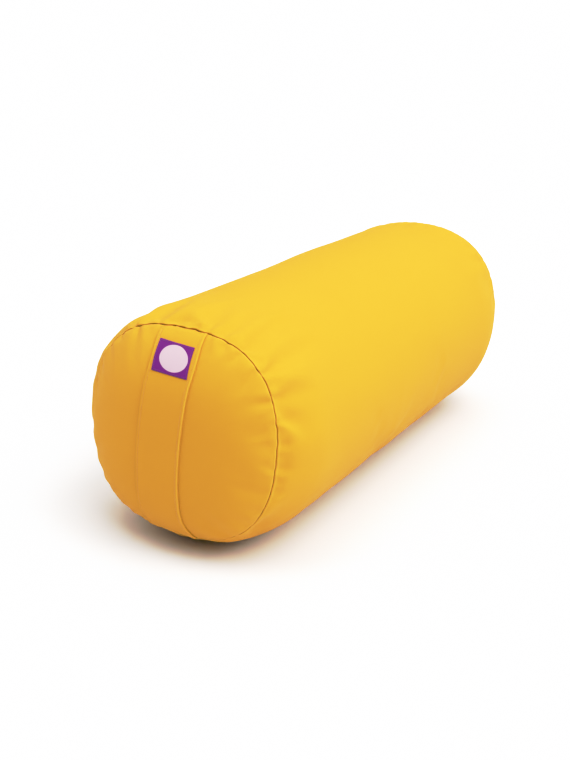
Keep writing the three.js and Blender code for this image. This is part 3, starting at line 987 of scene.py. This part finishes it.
clothMaterial, patchMaterial = cottonFinish(), patchFinish()
handleThread = threadFinish("handle_thread", colour(0.61, 0.315, 0.014), colour(0.55, 0.275, 0.012))
patchThread = threadFinish("patch_thread", colour(0.175, 0.001, 0.195), colour(0.14, 0.001, 0.16))
finishes = [(clothMaterial, [rollCloth, handlePanel, plainPanel, handleBand]),
            (handleThread, bandStitches), (patchMaterial, [wovenPatch]), (patchThread, [patchStitches])]
for material, pieces in finishes:
    for piece in pieces:
        piece.data.materials.append(material)

# what each piece stands for
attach(rollCloth, "root")
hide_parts("bolster_body")
for piece, node in ((handlePanel, "end_panel_handle"), (plainPanel, "end_panel_plain")):
    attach(piece, "root")
    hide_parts(node)
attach(handleBand, "root")
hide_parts("handle_strap")
for piece in bandStitches:
    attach(piece, "root")
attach(wovenPatch, "root")
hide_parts("label")
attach(patchStitches, "root")

# the floor and the light
bpy.ops.object.select_all(action="DESELECT")
bpy.ops.mesh.primitive_plane_add(size=60, location=(0, 0, 0))
floor = bpy.context.object
floor.name = "studio_floor"
floor.data.materials.append(newFinish("studio_floor").end(
    {"Base Color": colour(0.84, 0.85, 0.87), "Roughness": 0.9, "Specular IOR Level": 0.1}))

# a white room behind the floor, which itself gives almost no light
room = {"seen": 2.2, "light": 0.01}


def addRoom():
    world = bpy.data.worlds.new("studio")
    bpy.context.scene.world = world
    finish = Finish(world)
    seen = finish.wire("ShaderNodeLightPath")  # 1 straight from the camera
    strength = finish.wire("ShaderNodeMapRange", None, {0: seen, 3: room["light"], 4: room["seen"]})
    finish.end({"Color": colour(1, 1, 1), "Strength": strength},
               "ShaderNodeBackground", "ShaderNodeOutputWorld")


addRoom()

# each lamp: name, where it stands (azimuth, elevation) and strength
lamps = [
    ("key", -18, 50, 2.6), ("side", 27, 51, 1.94), ("top", 0, 90, 2.2), ("back", 117, 48, 0.96),
    ("rim", 207, 47, 1.68), ("lowLeft", -153, 6, 0.38), ("lowRight", 27, 12, 0.62),
]
lampWidth = 50  # degrees, so that all the light is soft


def towards(azimuth, elevation):
    a, e = math.radians(azimuth), math.radians(elevation)
    return Vector((math.sin(a) * math.cos(e), -math.cos(a) * math.cos(e), math.sin(e)))


for name, azimuth, elevation, strength in lamps:
    lamp = bpy.data.lights.new(name, "SUN")
    lamp.energy, lamp.angle = strength, math.radians(lampWidth)
    stand = bpy.data.objects.new(name, lamp)
    stand.rotation_euler = towards(azimuth, elevation).to_track_quat("Z", "Y").to_euler()
    bpy.context.scene.collection.objects.link(stand)

camera = {
    "azimuth": -62.852, "elevation": 18.703, "distance": 1.167, "roll": 2.407,
    "target": Vector((-0.0749, -0.00274, 0.10307)), "lens": 54.474,
}


def addCamera():
    back = towards(camera["azimuth"], camera["elevation"])
    right = Vector((0, 0, 1)).cross(back).normalized()
    up = back.cross(right)
    tilt = math.radians(camera["roll"])
    level = math.cos(tilt) * right + math.sin(tilt) * up
    upright = math.cos(tilt) * up - math.sin(tilt) * right
    eye = bpy.data.objects.new("camera", bpy.data.cameras.new("camera"))
    turned = Matrix((level, upright, back)).transposed().to_4x4()
    eye.matrix_world = Matrix.Translation(camera["target"] + back * camera["distance"]) @ turned
    eye.data.lens = camera["lens"]
    eye.data.clip_end = 100
    bpy.context.scene.collection.objects.link(eye)
    bpy.context.scene.camera = eye


addCamera()

# how the picture's tones are printed: the light in the scene, and what the picture shows of it
grade = {
    "white": 2.4,
    "tones": [(0.03, 0.032), (0.06, 0.049), (0.12, 0.083), (0.2, 0.131), (0.32, 0.209), (0.46, 0.308),
              (0.62, 0.479), (0.8, 0.65), (1.0, 0.762), (1.3, 0.884), (1.7, 0.989)],
}


def gradePicture():
    view = bpy.context.scene.view_settings
    view.view_transform = "Standard"
    view.use_curve_mapping = True
    mapping = view.curve_mapping
    mapping.white_level = (grade["white"],) * 3
    line = mapping.curves[3]
    for light, shown in grade["tones"]:
        line.points.new(light / grade["white"], shown)
    for point in line.points:
        point.handle_type = "AUTO_CLAMPED"
    mapping.update()


gradePicture()
print("stage, light and camera set")
